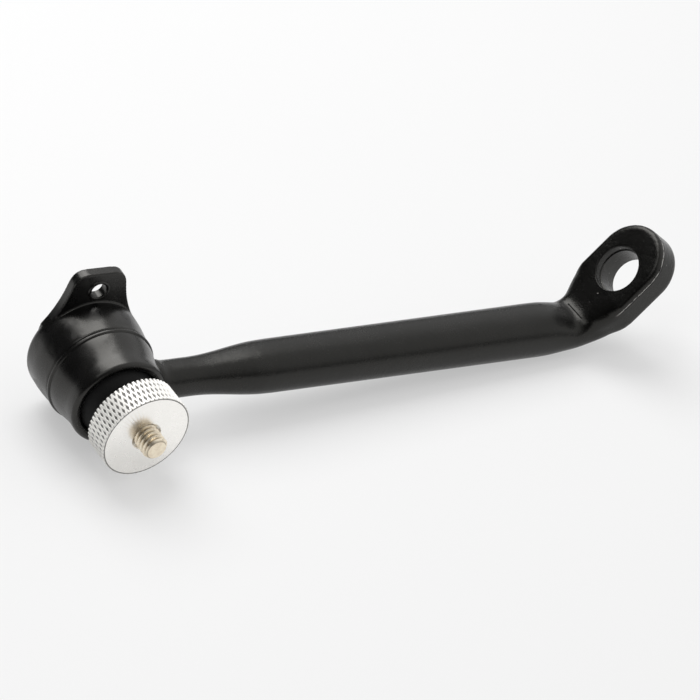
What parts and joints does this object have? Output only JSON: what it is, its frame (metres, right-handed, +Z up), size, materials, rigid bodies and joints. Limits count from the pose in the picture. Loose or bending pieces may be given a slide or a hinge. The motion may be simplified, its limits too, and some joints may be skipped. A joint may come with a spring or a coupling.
{
  "type": "ball joint mounting arm",
  "caption": "Forged black arm with a bent-up eye at one end and a lugged ball-joint housing at the other, carrying a short threaded stud with a knurled thumb wheel.",
  "frame": {"origin": "centre of the eye bore, at the middle of its wall", "axes": "+X along the bar from the housing to the eye; -Y straight ahead out of the housing, the way the stud points; +Z up, the way the housing's lug points"},
  "size_m": [0.174, 0.0413, 0.0427],
  "materials": {
    "arm_coat": "fine-textured matte black powder coat",
    "housing_black": "smooth satin black",
    "black_rubber": "dull black",
    "white_nylon": "natural nylon",
    "bare_steel": "turned steel",
    "stud_nickel": "bright nickel, slightly warm",
    "wheel_alloy": "bright satin, knurled rim"
  },
  "bodies": {
    "arm_and_housing": {"arm": "arm_coat", "bell": "housing_black", "seam_gasket": "black_rubber", "rear_cup": "housing_black", "cage": "white_nylon", "cage_clip": "bare_steel", "pressure_pad": "white_nylon", "disc_springs": "bare_steel"},
    "adjuster_disc": {"pressure_disc": "bare_steel"},
    "adjuster_plug": {"adjuster": "bare_steel"},
    "pan_ring": {"slip_ring": "white_nylon"},
    "ball_stud": {"ball": "bare_steel", "stud": "stud_nickel", "stud_pin": "bare_steel", "dust_dome": "black_rubber", "rubber_collar": "black_rubber"},
    "wheel_washer": {"jam_washer": "bare_steel"},
    "thumb_wheel": {"wheel": "wheel_alloy"}
  },
  "joints": [
    {"name": "ball_pan", "type": "hinge", "parent": "arm_and_housing", "child": "pan_ring", "pos_m": [-0.1486, 0, -0.0152], "axis": [0, -1, 0], "continuous": true},
    {"name": "ball_tilt", "type": "hinge", "parent": "pan_ring", "child": "ball_stud", "pos_m": [-0.1486, 0, -0.0152], "axis": [0, 0, 1], "range_deg": [-18, 10]},
    {"name": "wheel_travel", "type": "slide", "parent": "ball_stud", "child": "wheel_washer", "axis": [0.0698, -0.9976, 0], "range_m": [0, 0.00381]},
    {"name": "wheel_turn", "type": "hinge", "parent": "wheel_washer", "child": "thumb_wheel", "pos_m": [-0.14782, -0.01117, -0.0152], "axis": [0.0698, -0.9976, 0], "range_deg": [0, 1080]},
    {"name": "adjuster_travel", "type": "slide", "parent": "arm_and_housing", "child": "adjuster_disc", "axis": [0, 1, 0], "range_m": [0, 0.0005]},
    {"name": "adjuster_turn", "type": "hinge", "parent": "adjuster_disc", "child": "adjuster_plug", "pos_m": [-0.1486, 0.0154, -0.0152], "axis": [0, 1, 0], "range_deg": [0, 180]}
  ],
  "couplings": [
    {"joint": "wheel_turn", "follows": "wheel_travel", "rad_per_m": 4947.4},
    {"joint": "adjuster_turn", "follows": "adjuster_travel", "rad_per_m": 6283.2}
  ]
}
